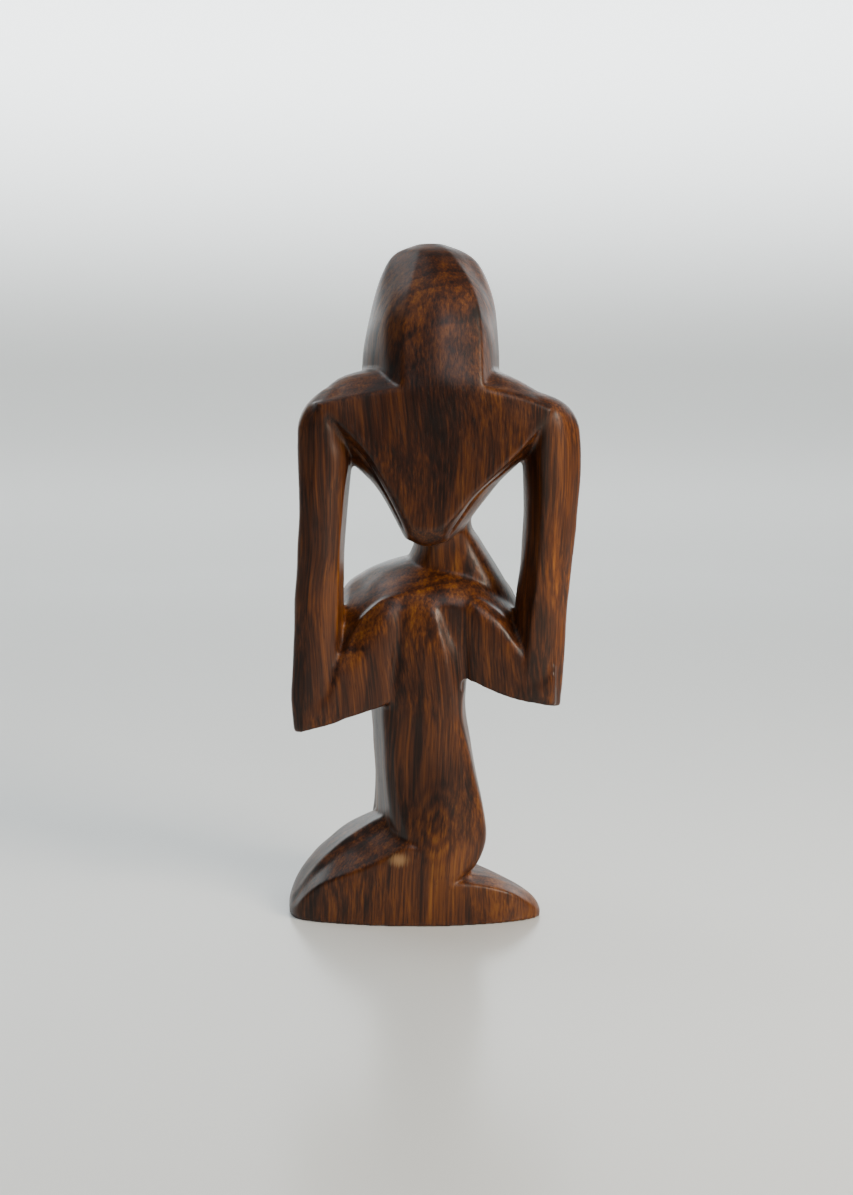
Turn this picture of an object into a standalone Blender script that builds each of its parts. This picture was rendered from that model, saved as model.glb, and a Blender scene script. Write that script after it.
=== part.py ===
"""Abstract carved hardwood figure, bowed, seen here with its back towards -Y.

The figure is one block of wood.  Its members are lofted from hand-set sections,
fused into one body, then divided by thin saw cuts into named carved regions, so
that the two openings between the arms and the back stay open.

Units: the sections below are in millimetres, the scene is in metres, +Z up.
Frame: origin under the middle of the figure, at the table, back towards -Y.
"""

import math

import bmesh
import bpy
import numpy as np
from mathutils import Vector

# ---------------------------------------------------------------- driving sizes
HEIGHT = 200.0          # table to crown, mm
DESIGN_HEIGHT = 200.0   # height the sections below are drawn at, mm
SAW_CUT = 0.3           # gap between two carved regions, mm
MIDDLE_X = 0.2          # middle of the figure in the drawn sections, mm
MIDDLE_Y = 1.4
MM = 0.001 * HEIGHT / DESIGN_HEIGHT

STEPS_ROUND = 3         # points per side of a section
STEPS_ALONG = 2         # sections drawn between two given ones

# Planes that divide the block, mm in the drawn frame
NECK_CUT_Z = 160.5
WAIST_CUT_Z = 110.9
KNEE_CUT_Z = 60.2
ANKLE_CUT_Z = 27.0
LEFT_ARM_CUT_X = -22.0
RIGHT_ARM_CUT_X = 24.6
SHOULDER_CUT_Z = 134.0
ELBOW_CUT_Z = 103.0
LOWEST_ELBOW_Z = 40.0
LEG_CUT_Y = 1.5
FOOT_CUT_X = 2.0
REACH = 90.0            # half size of the box that bounds every region

WOOD_COLOURS = {
    "near": (0.075, 0.022, 0.011, 1.0),
    "mid": (0.110, 0.034, 0.015, 1.0),
    "warm": (0.150, 0.048, 0.018, 1.0),
}
WOOD_ROUGHNESS = 0.34

# ---------------------------------------------------------------- drawn sections
# A member is a list of sections.  A section is (level, slope, outline): the
# level along the member's own axis, how much that level changes per mm across
# the member, and the outline in the two other axes.

HEAD_CORNERS = (0, 2)
HEAD = [
    (147.0, 0, [(-8, -25), (3.5, -25.5), (14.9, -25), (17, -13), (17.5, -2),
                (11, 8), (2, 12), (-7, 8), (-15, -2), (-13, -16)]),
    (157.0, 0, [(-8, -24.7), (3.5, -25.2), (14.9, -24.7), (18.6, -12), (19.8, 0),
                (14, 13), (1, 18), (-12, 13), (-19.6, 0), (-13.8, -16.5)]),
    (165.0, 0, [(-8, -22.1), (3.5, -23.1), (14.7, -22.1), (18.9, -11), (20.3, 1),
                (15, 17), (0.5, 23), (-14, 17), (-20.2, 1), (-13.9, -15)]),
    (172.0, 0, [(-7.8, -19.1), (3.3, -20.5), (14.5, -19.1), (18.4, -10), (20, 2),
                (15, 18.5), (0.5, 25.5), (-14, 18.5), (-19.4, 2), (-13.8, -13)]),
    (179.0, 0, [(-7.2, -16), (3, -17.8), (13.9, -16), (17.3, -8), (19.5, 3),
                (14.4, 19), (0.5, 26.5), (-13.6, 19), (-17.8, 3), (-13.2, -10.2)]),
    (185.0, 0, [(-6.3, -12.5), (2.6, -14.3), (12.5, -12.5), (15.8, -5), (18.4, 4.5),
                (13, 18.5), (0.5, 26), (-12.4, 18.5), (-16.5, 4.5), (-11.4, -7)]),
    (190.5, 0, [(-5, -7.5), (2, -9.2), (10, -7.5), (13, -1.5), (16.6, 6),
                (11.4, 17), (0.5, 23.5), (-10.8, 17), (-14.7, 6), (-9.4, -2.8)]),
    (195.0, 0, [(-4, -2.5), (1.2, -3.8), (7.2, -2.5), (10.4, 1.5), (13.8, 7.5),
                (9.2, 15.5), (0.5, 20), (-8.9, 15.5), (-12.4, 7.5), (-7.8, 1.5)]),
    (197.9, 0, [(-3, 1.6), (0.6, 0.8), (4.8, 1.6), (7.4, 4.4), (9.6, 8.5),
                (6.6, 13.4), (0.4, 15.8), (-6.6, 13.4), (-9.3, 8.5), (-6.4, 4.4)]),
    (200.1, 0, [(-1.5, 6.8), (0.2, 6.4), (2, 6.8), (3, 7.6), (3.6, 8.9),
                (2.4, 10.4), (0.2, 11.2), (-2.4, 10.4), (-3.5, 8.9), (-2.7, 7.6)]),
]

TORSO_CORNERS = (0, 2, 3, 6, 8, 11, 12, 14)
TORSO = [
    (-25.2, 0.06, [(-7.9, 157.1), (-20, 155), (-32, 152.2), (-27.8, 149.8),
                   (-17.6, 139.1), (-10.9, 128), (-5, 117.6), (-0.8, 116.6),
                   (4, 118), (12.2, 127.2), (20.6, 135.4), (29.8, 144.4),
                   (34.2, 150.8), (25.5, 154.3), (14.7, 157.1)]),
    (-22.4, 0.0, [(-8.6, 158.4), (-20.5, 156.4), (-33.4, 153), (-29.4, 147.5),
                  (-19.4, 137.6), (-12.6, 126.6), (-6.6, 114), (-1.5, 112),
                  (4.3, 113.2), (13, 125.8), (21.6, 133.8), (30, 141.8),
                  (36, 151.6), (26, 155.8), (15.4, 158.4)]),
    (-14.0, 0.0, [(-14.4, 162.5), (-26.9, 159.2), (-35.2, 152), (-31, 142),
                  (-21.5, 134.2), (-15.2, 127.6), (-7.8, 114.8), (0.5, 112.8),
                  (9, 115.6), (18.1, 127.6), (24.3, 134.2), (33, 142),
                  (40.2, 150.6), (28.5, 157.6), (19.4, 161.8)]),
    (0.0, 0.0, [(-15, 163), (-25, 160), (-32.5, 153), (-28, 143.5),
                (-20.5, 136), (-15, 129), (-7.5, 119.5), (2, 116),
                (11, 118.5), (17.5, 128), (23.5, 136), (30, 143.5),
                (35, 151.5), (26, 158.3), (18.6, 162)]),
    (11.0, 0.0, [(-10, 157.5), (-17, 155.4), (-22.5, 150.4), (-20.5, 144),
                 (-16, 137.5), (-12, 130.5), (-7, 123.5), (2, 120.5),
                 (10, 123), (15, 130), (18.6, 137.5), (22.6, 144),
                 (25, 149.6), (19.5, 155), (13, 157.5)]),
    (17.5, 0.0, [(-6, 152), (-10, 151), (-13, 147.5), (-12, 143),
                 (-10, 138.5), (-7.5, 133), (-4.6, 128.8), (1.5, 127),
                 (7, 128.6), (10, 132.8), (12.5, 138.5), (14.4, 143),
                 (15.5, 147), (12.5, 151), (8.5, 152)]),
]

WAIST_CORNERS = ()
WAIST = [
    (128.0, 0, [(-9, -12), (3, -15), (14, -12), (16.5, 0), (12, 10), (2, 12),
                (-8, 10), (-11, 0)]),
    (118.0, 0, [(-4, -11), (3, -13), (10, -11), (12.2, -1.5), (9, 9), (3, 11),
                (-4, 9), (-6, 0)]),
    (112.0, 0, [(-1, -9.5), (4, -11.5), (12, -10), (15.2, -1.5), (11, 10), (4, 12),
                (-3, 10), (-4.6, 0)]),
    (106.0, 0, [(-2, -9), (5, -11.5), (15, -10.5), (19, -1.5), (14, 11), (4, 13),
                (-5, 11), (-7, 0)]),
    (100.0, 0, [(-4, -9), (6, -12), (18, -11.5), (22.6, -1.5), (17, 12), (4, 14),
                (-8, 12), (-10, 0)]),
    (92.0, 0, [(-6, -9), (6, -12), (20, -12), (27, -1.5), (19, 12), (4, 14),
               (-10, 12), (-12, 0)]),
]

HIPS_CORNERS = (0, 10)
HIPS = [
    (-19.6, 0, [(-25.5, 70), (-22, 80.6), (-17.2, 86), (-12, 90.4), (-6, 93),
                (1.2, 94.4), (8, 94), (13, 91.8), (18, 87.4), (22.4, 81.4),
                (25, 70), (0, 73)]),
    (-17.8, 0, [(-27.6, 71), (-24.4, 83.2), (-19.3, 89), (-13.5, 93.8), (-7, 96.6),
                (1.2, 98), (9, 97.4), (14.5, 95.2), (20.2, 90.2), (24.8, 84),
                (27.4, 71), (0, 73)]),
    (-13.0, 0, [(-29, 74), (-25.8, 87.8), (-20.3, 93.2), (-14, 97.8), (-7, 100.7),
                (1, 102.3), (9, 101.8), (15, 99.4), (21, 94), (26, 87), (28.5, 73),
                (0, 73)]),
    (-5.0, 0, [(-29.6, 77), (-26.4, 92.4), (-20.4, 98), (-14.2, 102.3), (-6.6, 105.3),
               (1, 107), (9, 106.6), (15.4, 103.8), (21, 98.4), (26.2, 90.6), (28.8, 76),
               (0, 73)]),
    (6.0, 0, [(-30, 80), (-26.6, 96), (-20.3, 101.8), (-14, 104.7), (-6.1, 107),
              (1, 108.4), (9, 108.4), (15.5, 106.5), (21, 101.5), (26.3, 93.5), (28.4, 78),
              (-2, 67)]),
    (18.0, 0, [(-24.5, 76), (-23.5, 91), (-18.5, 98), (-12.5, 101.3), (-6, 103.2),
               (1, 104), (8, 103.6), (14, 101.5), (19, 97), (23.5, 90), (23.5, 75.5),
               (-4, 60.5)]),
    (26.0, 0, [(-18.6, 74), (-17.6, 86), (-14.5, 91), (-10, 94), (-5, 95.6),
               (1, 96.2), (6.5, 95.6), (11.5, 93.8), (15.5, 90.4), (18.2, 84.5),
               (18, 73.5), (-3, 63.5)]),
    (30.0, 0, [(-10, 75.5), (-9.5, 81), (-7.8, 84.3), (-5.4, 86.2), (-2.6, 87.2),
               (0.5, 87.6), (3.4, 87.2), (6, 86.2), (8.3, 84), (9.6, 81),
               (9.8, 75.5), (-1, 71)]),
]

LEFT_LAP_CORNERS = (0, 2, 3, 4)
LEFT_LAP = [
    (-37.5, 0, [(-23.2, 57.6), (-23.8, 66), (-22.6, 73), (-8, 74), (-8, 59)]),
    (-30.0, 0, [(-23.2, 59.4), (-23.5, 66), (-21.6, 73), (-5, 76), (-5, 60)]),
    (-26.2, 0, [(-22.8, 60.9), (-22.9, 76.8), (-20.6, 80.4), (-4, 82), (-4, 61)]),
    (-21.5, 0, [(-22.2, 62.4), (-22.5, 80.2), (-18.2, 89), (-2, 92), (-2, 62.6)]),
    (-17.0, 0, [(-21.6, 63.8), (-22, 84), (-17.8, 93.6), (-1, 96), (-1, 63.8)]),
    (-12.5, 0, [(-21, 65.4), (-21.4, 88), (-17.8, 96.6), (0, 99), (0, 65)]),
    (-6.5, 0, [(-18.6, 70), (-19, 90), (-17, 97.6), (0, 99.5), (0, 70)]),
]

RIGHT_LAP_CORNERS = (0, 2, 3, 4)
RIGHT_LAP = [
    (36.5, 0, [(-22.2, 65.2), (-23, 72), (-21.4, 80), (-8, 80), (-8, 66)]),
    (30.0, 0, [(-23.2, 66.1), (-23.6, 71), (-21.8, 77.4), (-5, 80), (-5, 66.5)]),
    (26.0, 0, [(-23, 66.9), (-23.2, 80.6), (-19.8, 84.4), (-4, 87), (-4, 67)]),
    (21.5, 0, [(-22.4, 68.2), (-22.4, 86.2), (-18.4, 91.2), (-2, 94), (-2, 68.4)]),
    (16.0, 0, [(-21.6, 70.4), (-21.6, 90.2), (-17.8, 95.4), (-1, 98), (-1, 70.4)]),
    (11.5, 0, [(-20.2, 72.4), (-20.4, 92), (-17.4, 97.4), (0, 99), (0, 72.6)]),
    (6.0, 0, [(-17, 73), (-17, 90), (-15, 98), (0, 99), (0, 74)]),
]

LEFT_ARM_CORNERS = (0, 2)
LEFT_ARM = [
    (157.0, 0, [(-28.5, -17.5), (-26.5, -18.5), (-24.5, -18.5), (-20, -8), (-25, -5),
                (-29.5, -7), (-30.6, -14)]),
    (154.3, 0, [(-29.8, -22.3), (-27.5, -22.8), (-25, -22.6), (-20, -9), (-25.5, -3.5),
                (-31.6, -5.5), (-34, -16.4)]),
    (151.5, 0, [(-32.3, -24.2), (-30, -24.8), (-27.8, -24.8), (-20, -10), (-26, -3),
                (-33, -5), (-36.3, -18)]),
    (147.0, 0, [(-33.2, -24.5), (-30, -24.9), (-26.8, -23.4), (-20, -9), (-27, -3),
                (-34.2, -5), (-38, -19)]),
    (142.0, 0, [(-33, -24.6), (-28.8, -24.4), (-25.2, -21.9), (-21.5, -9), (-27, -4),
                (-34, -5.6), (-38.2, -19.6)]),
    (136.0, 0, [(-32.8, -24.7), (-27.5, -24), (-23.6, -21), (-22.9, -9), (-27, -4.5),
                (-34, -6), (-38.2, -20)]),
    (125.0, 0, [(-33.8, -24.7), (-29, -24), (-25, -21.4), (-24.1, -10), (-28.5, -5.5),
                (-34, -6.5), (-37.8, -20.4)]),
    (110.0, 0, [(-34.4, -24.6), (-30, -24), (-26.2, -21.6), (-25.3, -10),
                (-29.5, -5.5), (-34.8, -6.5), (-38.5, -20.4)]),
    (95.0, 0, [(-35.2, -24.5), (-31, -24), (-26.7, -21.5), (-25.6, -9.5), (-30, -5),
               (-35.5, -6.5), (-39.5, -20.2)]),
    (80.0, 0, [(-36.2, -24.3), (-31.5, -23.8), (-27.2, -21.5), (-25.6, -9), (-30, -4.5),
               (-36, -6.5), (-40, -20)]),
    (68.0, 0, [(-36.9, -24), (-32, -23.5), (-26.5, -21.5), (-25, -9), (-30, -4.5),
               (-36.6, -6.5), (-40.7, -20)]),
    (57.0, 0.24, [(-37.7, -23.6), (-32, -23), (-26.5, -21.5), (-25, -9), (-30, -4.5),
                  (-36.6, -6.5), (-39.9, -19.6)]),
]

RIGHT_ARM_CORNERS = (0,)
RIGHT_ARM = [
    (156.4, 0, [(27, -17), (28.6, -16.5), (30, -14.4), (30.4, -11.6), (29, -6.5), (26, -5.5),
                (21, -8), (21, -15)]),
    (154.0, 0, [(29, -22.4), (32.5, -21.8), (35.6, -18.8), (36.8, -14.4), (34, -6),
                (29, -4), (21.5, -8), (22, -18)]),
    (151.0, 0, [(31.5, -24.4), (35.8, -23.2), (39.2, -19.6), (40.6, -15), (37, -5.6),
                (30, -3), (22, -8), (25, -20)]),
    (147.0, 0, [(32.2, -24.9), (37, -23.6), (40.9, -20), (42.6, -15.6), (38, -5.6),
                (31, -3), (23.5, -8), (28.4, -21)]),
    (142.0, 0, [(32, -24.9), (37.4, -23.6), (41.6, -20.2), (43.3, -16), (38.6, -6),
                (31.6, -3.8), (25, -8.6), (27.8, -18.6)]),
    (136.0, 0, [(31.8, -24.8), (37.5, -23.4), (41.8, -20.2), (43.5, -16.2), (39, -6.4),
                (32, -4.5), (27, -9), (27.8, -17)]),
    (125.0, 0, [(32, -24.8), (37.4, -23.4), (41.4, -20.2), (42.9, -16.4), (38.5, -6.5),
                (32.5, -5), (27.6, -9), (28.1, -17)]),
    (110.0, 0, [(31.3, -24.7), (36.4, -23.4), (40.2, -20.2), (41.6, -16.6),
                (37.6, -6.5), (32, -5), (27.2, -9), (27.5, -17)]),
    (95.0, 0, [(29.9, -24.4), (34.8, -23.2), (38.7, -20), (40.1, -16.6), (36.4, -6.5),
               (31, -5), (25.7, -9), (25.9, -17)]),
    (82.0, 0, [(28.6, -24), (33.8, -22.9), (38, -20), (39.4, -16.6), (36, -6.5),
               (30.5, -5), (24.5, -9), (24.7, -17)]),
    (72.0, 0, [(27.8, -23.8), (33.2, -22.8), (37.5, -20), (38.8, -16.6), (35.6, -6.5),
               (30.5, -5), (23.3, -9), (23.3, -17)]),
    (72.7, -0.22, [(27.8, -23.5), (33, -22.6), (37, -19.8), (38, -16.6),
                   (35, -6.5), (30.5, -5), (23.3, -9), (23.3, -17)]),
]

NEAR_LEG_CORNERS = (0, 2)
NEAR_LEG = [
    (96.0, 0, [(-10, -17.6), (-4, -18.6), (1, -19), (12, -12), (10, 0), (-8, 0),
               (-13, -10)]),
    (92.0, 0, [(-9.4, -19), (-4, -20.4), (1.2, -21.2), (11.6, -13), (10, 0), (-8, 0),
               (-12, -10)]),
    (87.0, 0, [(-8.8, -19.9), (-3.6, -21.3), (2.4, -22), (11, -14), (9, 0), (-8, 0),
               (-11, -10)]),
    (80.0, 0, [(-9, -20.4), (-3, -22), (4.2, -22.6), (10.8, -16), (8.5, 0), (-8, 0),
               (-11, -10)]),
    (70.0, 0, [(-9.6, -20.8), (-2, -22.6), (6.2, -22.4), (10.2, -16.5), (8, 0), (-15.6, 3),
               (-13.8, -15.4)]),
    (62.0, 0, [(-10.2, -20.8), (-0.8, -23), (7, -21.6), (9.8, -16.5), (8, 0), (-16.2, 3),
               (-14.4, -15.6)]),
    (54.0, 0, [(-10.4, -20.8), (0, -23.2), (8, -21.6), (11.2, -16.5), (9, 0), (-16, 3),
               (-14.3, -15.6)]),
    (45.0, 0, [(-10.2, -21), (0.8, -23.5), (9.6, -21.6), (13.1, -16.5), (10, 1),
               (-15.4, 3), (-13.8, -15.6)]),
    (35.0, 0, [(-9, -22), (2.2, -24.6), (11.8, -21.8), (15.5, -16.5), (11, 2),
               (-15.2, 3), (-13, -16)]),
    (26.0, 0, [(-6.4, -24), (3.6, -25.6), (13, -22.2), (16.8, -16.5), (12, 2), (-14.6, 3),
               (-11.2, -17)]),
    (20.0, 0, [(-4.6, -25.2), (3.8, -25.8), (12.2, -22.6), (15.6, -17), (12, 2), (-6, 2),
               (-8, -12)]),
    (14.5, 0, [(-4, -25.3), (3, -25.6), (9, -23.6), (12, -18), (10, 1), (-5.5, 1),
               (-8, -11)]),
    (9.0, 0, [(-4, -24), (1, -24.6), (4.4, -23.6), (6.6, -18), (7, 0), (-5, 0),
              (-8, -10)]),
]

FAR_LEG_CORNERS = ()
FAR_LEG = [
    (84.0, 0, [(-15, 5), (-6, 2), (4, 3), (7, 12), (3, 22), (-5, 24), (-12, 22),
               (-16.5, 13)]),
    (72.0, 0, [(-17, 4), (-6, 1), (4, 2), (8, 12), (3, 23), (-5, 25), (-13, 23),
               (-18.5, 13)]),
    (57.0, 0, [(-16, 4), (-6, 1), (4, 2), (7, 12), (2, 21.5), (-5, 23.5), (-12, 22),
               (-18, 13)]),
    (45.0, 0, [(-15.2, 4), (-6, 1), (4, 2), (7, 12), (2, 20), (-5, 22), (-11.5, 21),
               (-17, 12.5)]),
    (33.0, 0, [(-15.4, 4), (-6, 1), (4, 2), (7.5, 12), (3, 21), (-5, 23), (-12, 22),
               (-17, 12.5)]),
    (24.0, 0, [(-16.5, 3), (-6, 0), (5, 1), (9, 12), (4, 24), (-5, 26), (-13, 24),
               (-18, 13)]),
    (10.0, 0, [(-18, 2), (-6, 0), (6, 1), (10, 12), (5, 25), (-5, 27), (-14, 25),
               (-20, 13)]),
]

FOOT_BLOCK_CORNERS = (0, 1, 2, 3, 7)
FOOT_BLOCK = [
    (-43.3, 0, [(-4, 0), (-4, 0.9), (-3, 1.3), (-2, 1.6), (0, 1.8), (2, 1.4), (3.4, 0.8),
                (4, 0)]),
    (-42.2, 0, [(-13, 0), (-12.6, 2), (-10.4, 3), (-8.4, 4.2), (0, 5.4), (7, 4),
                (10.5, 2.4), (12, 0)]),
    (-40.0, 0, [(-17.7, 0), (-17.6, 3.6), (-13.6, 5.2), (-11, 7), (0, 9.8), (10, 7.2),
                (14.5, 4), (16, 0)]),
    (-37.0, 0, [(-19.6, 0), (-19.6, 7.4), (-14.6, 9.4), (-12, 11.4), (0, 13.9),
                (12, 10.4), (18, 5.6), (20, 0)]),
    (-33.0, 0, [(-21.2, 0), (-21.2, 11), (-15, 13.8), (-12.2, 16.4), (0, 18.2),
                (13, 13.8), (20.5, 7.6), (23, 0)]),
    (-27.0, 0, [(-22.8, 0), (-22.8, 14), (-15.4, 18.8), (-12.4, 21.8), (0, 23.4),
                (14, 17.8), (22.5, 9.8), (26, 0)]),
    (-20.0, 0, [(-24.1, 0), (-24.1, 16.8), (-15.6, 23.4), (-12.4, 26.6), (0, 27.5),
                (15, 20.8), (24, 11.4), (28, 0)]),
    (-13.0, 0, [(-25, 0), (-25, 20.2), (-16, 27.2), (-13, 30.4), (0, 29.8), (15.5, 23),
                (25, 12.4), (29.3, 0)]),
    (-6.0, 0, [(-25.4, 0), (-25.4, 23.8), (-18, 29), (-15, 31), (0, 29), (16, 23.4),
               (25.6, 12.6), (30, 0)]),
    (0.0, 0, [(-25.4, 0), (-25.4, 20), (-20, 24), (-17, 26), (0, 24), (15.5, 19),
              (25, 10.6), (29.6, 0)]),
    (5.0, 0, [(-25.1, 0), (-25.1, 13.1), (-20, 14.8), (-16, 15.6), (0, 15.6), (14, 12),
              (23, 7), (28, 0)]),
    (11.0, 0, [(-24.3, 0), (-24.3, 12.5), (-18, 13.6), (-14, 14), (0, 13), (12, 8),
               (19.5, 4.4), (24, 0)]),
    (18.0, 0, [(-22.9, 0), (-22.9, 10.9), (-16.5, 12.4), (-12.5, 12.5), (0, 10),
               (9, 5.4), (14, 2.8), (17.5, 0)]),
    (24.5, 0, [(-21, 0), (-21, 8.4), (-15.5, 9.8), (-12, 9.8), (-1, 6.8), (5, 3.6),
               (8.5, 1.8), (11, 0)]),
    (29.0, 0, [(-19, 0), (-19, 5.2), (-14.5, 7.1), (-12, 7), (-3, 3.8), (1, 2),
               (3.5, 1), (5, 0)]),
    (31.6, 0, [(-17, 0), (-17, 2.8), (-13.8, 4.4), (-12, 4.4), (-7, 3), (-4, 1.8),
               (-2.4, 0.8), (-1.5, 0)]),
    (33.0, 0, [(-14.5, 0), (-14.5, 1), (-13, 1.5), (-12, 1.6), (-10, 1.4), (-9, 0.9),
               (-8.2, 0.4), (-8, 0)]),
]

BACK_LEAN_Z = 150.0     # height above which the back leans away, mm


# ---------------------------------------------------------------- lofting tools
def tangents(points, corners, closed):
    """Slope of the curve through the points; a corner keeps its two sides apart."""
    count = len(points)
    incoming = np.zeros_like(points)
    outgoing = np.zeros_like(points)
    for i in range(count):
        before = points[i - 1] if (closed or i > 0) else points[i]
        after = points[(i + 1) % count] if (closed or i < count - 1) else points[i]
        if i in corners:
            incoming[i] = points[i] - before
            outgoing[i] = after - points[i]
        else:
            incoming[i] = outgoing[i] = 0.5 * (after - before)
    return incoming, outgoing


def smooth_curve(points, corners, steps, closed):
    """Points on a cubic curve through the given ones."""
    points = np.asarray(points, dtype=float)
    incoming, outgoing = tangents(points, corners, closed)
    count = len(points)
    spans = count if closed else count - 1
    curve = []
    for i in range(spans):
        j = (i + 1) % count
        for k in range(steps):
            t = k / steps
            curve.append((2 * t**3 - 3 * t**2 + 1) * points[i]
                         + (t**3 - 2 * t**2 + t) * outgoing[i]
                         + (-2 * t**3 + 3 * t**2) * points[j]
                         + (t**3 - t**2) * incoming[j])
    if not closed:
        curve.append(points[-1])
    return np.array(curve)


def place(axis, level, slope, a, b):
    """One outline point in the drawn frame, mm."""
    if axis == "Z":
        return (a, b, level - slope * (-40.0 - a) if slope > 0 else level + slope * a)
    if axis == "X":
        return (level, a, b)
    return (a, level - slope * (BACK_LEAN_Z - b), b)


def member(name, axis, sections, corners):
    """A closed body lofted through the sections."""
    rings = [[place(axis, level, slope, a, b) for a, b in outline]
             for level, slope, outline in sections]
    rings = np.array([smooth_curve(ring, corners, STEPS_ROUND, True) for ring in rings])
    columns = [smooth_curve(rings[:, i], (), STEPS_ALONG, False)
               for i in range(rings.shape[1])]
    grid = np.stack(columns, axis=1)
    mesh = bmesh.new()
    loops = [[mesh.verts.new(Vector(point) * MM) for point in ring] for ring in grid]
    width = len(loops[0])
    for lower, upper in zip(loops, loops[1:]):
        for i in range(width):
            j = (i + 1) % width
            mesh.faces.new((lower[i], lower[j], upper[j], upper[i]))
    mesh.faces.new(loops[0])
    mesh.faces.new(loops[-1])
    bmesh.ops.recalc_face_normals(mesh, faces=mesh.faces)
    data = bpy.data.meshes.new(name)
    mesh.to_mesh(data)
    mesh.free()
    body = bpy.data.objects.new(name, data)
    bpy.context.collection.objects.link(body)
    return body


def evaluated(body):
    """Replace the body's mesh by the mesh its modifiers make."""
    graph = bpy.context.evaluated_depsgraph_get()
    data = bpy.data.meshes.new_from_object(body.evaluated_get(graph))
    body.modifiers.clear()
    body.data = data
    return body


def boolean(body, other, operation):
    """Join or intersect two bodies with the exact solver."""
    step = body.modifiers.new(operation.title(), "BOOLEAN")
    step.operation = operation
    step.solver = "EXACT"
    step.object = other
    return evaluated(body)


def fuse(bodies):
    """One body from overlapping members."""
    whole = bodies[0]
    for other in bodies[1:]:
        boolean(whole, other, "UNION")
        bpy.data.objects.remove(other)
    return whole


def block(name, reaches):
    """A cutting box with the given reach along each axis, mm in the drawn frame."""
    mesh = bmesh.new()
    bmesh.ops.create_cube(mesh, size=1.0)
    for vert in mesh.verts:
        for i in range(3):
            vert.co[i] = reaches[i][1 if vert.co[i] > 0 else 0] * MM
    data = bpy.data.meshes.new(name)
    mesh.to_mesh(data)
    mesh.free()
    body = bpy.data.objects.new(name, data)
    body.hide_render = True
    body.display_type = "WIRE"
    bpy.context.collection.objects.link(body)
    return body


def wood(name, tone):
    """The region's own polished hardwood material."""
    material = bpy.data.materials.new(name + "_wood")
    material.use_nodes = True
    shader = material.node_tree.nodes["Principled BSDF"]
    shader.inputs["Base Color"].default_value = WOOD_COLOURS[tone]
    shader.inputs["Roughness"].default_value = WOOD_ROUGHNESS
    shader.inputs["Metallic"].default_value = 0.0
    return material


# ---------------------------------------------------------------- the carving
def carve():
    """The whole figure as one body."""
    members = [
        member("torso", "Y", TORSO, TORSO_CORNERS),
        member("head", "Z", HEAD, HEAD_CORNERS),
        member("waist", "Z", WAIST, WAIST_CORNERS),
        member("hips", "Y", HIPS, HIPS_CORNERS),
        member("left_arm", "Z", LEFT_ARM, LEFT_ARM_CORNERS),
        member("right_arm", "Z", RIGHT_ARM, RIGHT_ARM_CORNERS),
        member("left_lap", "X", LEFT_LAP, LEFT_LAP_CORNERS),
        member("right_lap", "X", RIGHT_LAP, RIGHT_LAP_CORNERS),
        member("near_leg", "Z", NEAR_LEG, NEAR_LEG_CORNERS),
        member("far_leg", "Z", FAR_LEG, FAR_LEG_CORNERS),
        member("foot_block", "X", FOOT_BLOCK, FOOT_BLOCK_CORNERS),
    ]
    return fuse(members)


def regions():
    """Name, tone and the reach along x, y and z of each carved region."""
    gap = 0.5 * SAW_CUT
    left = (-REACH, LEFT_ARM_CUT_X - gap)
    middle = (LEFT_ARM_CUT_X + gap, RIGHT_ARM_CUT_X - gap)
    right = (RIGHT_ARM_CUT_X + gap, REACH)
    deep = (-REACH, REACH)
    shoulder = (SHOULDER_CUT_Z + gap, NECK_CUT_Z - gap)
    upper_arm = (ELBOW_CUT_Z + gap, SHOULDER_CUT_Z - gap)
    elbow = (LOWEST_ELBOW_Z, ELBOW_CUT_Z - gap)
    shin = (ANKLE_CUT_Z + gap, KNEE_CUT_Z - gap)
    ground = (-1.0, ANKLE_CUT_Z - gap)
    return [
        ("head", "mid", deep, deep, (NECK_CUT_Z + gap, 2 * HEIGHT)),
        ("back", "warm", middle, deep, (WAIST_CUT_Z + gap, NECK_CUT_Z - gap)),
        ("left_shoulder", "near", left, deep, shoulder),
        ("left_upper_arm", "mid", left, deep, upper_arm),
        ("left_elbow", "near", left, deep, elbow),
        ("right_shoulder", "warm", right, deep, shoulder),
        ("right_upper_arm", "mid", right, deep, upper_arm),
        ("right_elbow", "warm", right, deep, elbow),
        ("thighs", "mid", middle, deep, (KNEE_CUT_Z + gap, WAIST_CUT_Z - gap)),
        ("near_leg", "warm", middle, (-REACH, LEG_CUT_Y - gap), shin),
        ("far_leg", "near", middle, (LEG_CUT_Y + gap, REACH), shin),
        ("left_foot", "mid", (-REACH, FOOT_CUT_X - gap), deep, ground),
        ("right_foot", "mid", (FOOT_CUT_X + gap, REACH), deep, ground),
    ]


def main():
    for thing in list(bpy.data.objects):
        bpy.data.objects.remove(thing)
    whole = carve()
    for name, tone, *reaches in regions():
        part = bpy.data.objects.new(name, whole.data.copy())
        bpy.context.collection.objects.link(part)
        cutter = block("cut_" + name, reaches)
        boolean(part, cutter, "INTERSECT")
        bpy.data.objects.remove(cutter)
        part.location = (-MIDDLE_X * MM, -MIDDLE_Y * MM, 0.0)
        part.data.materials.clear()
        part.data.materials.append(wood(name, tone))
        part.data.shade_smooth()
        part.data.set_sharp_from_angle(angle=math.radians(35.0))
    bpy.data.objects.remove(whole)


main()
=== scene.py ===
"""Final looks of the carved hardwood figure: one continuous, polished carving.

The members are lofted from given sections, fused and softened into a single
body as sanding does, cut with gouge lines, and given procedural wood.
Sections are in millimetres in the drawn frame; the scene is in metres.
"""

import math

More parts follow.
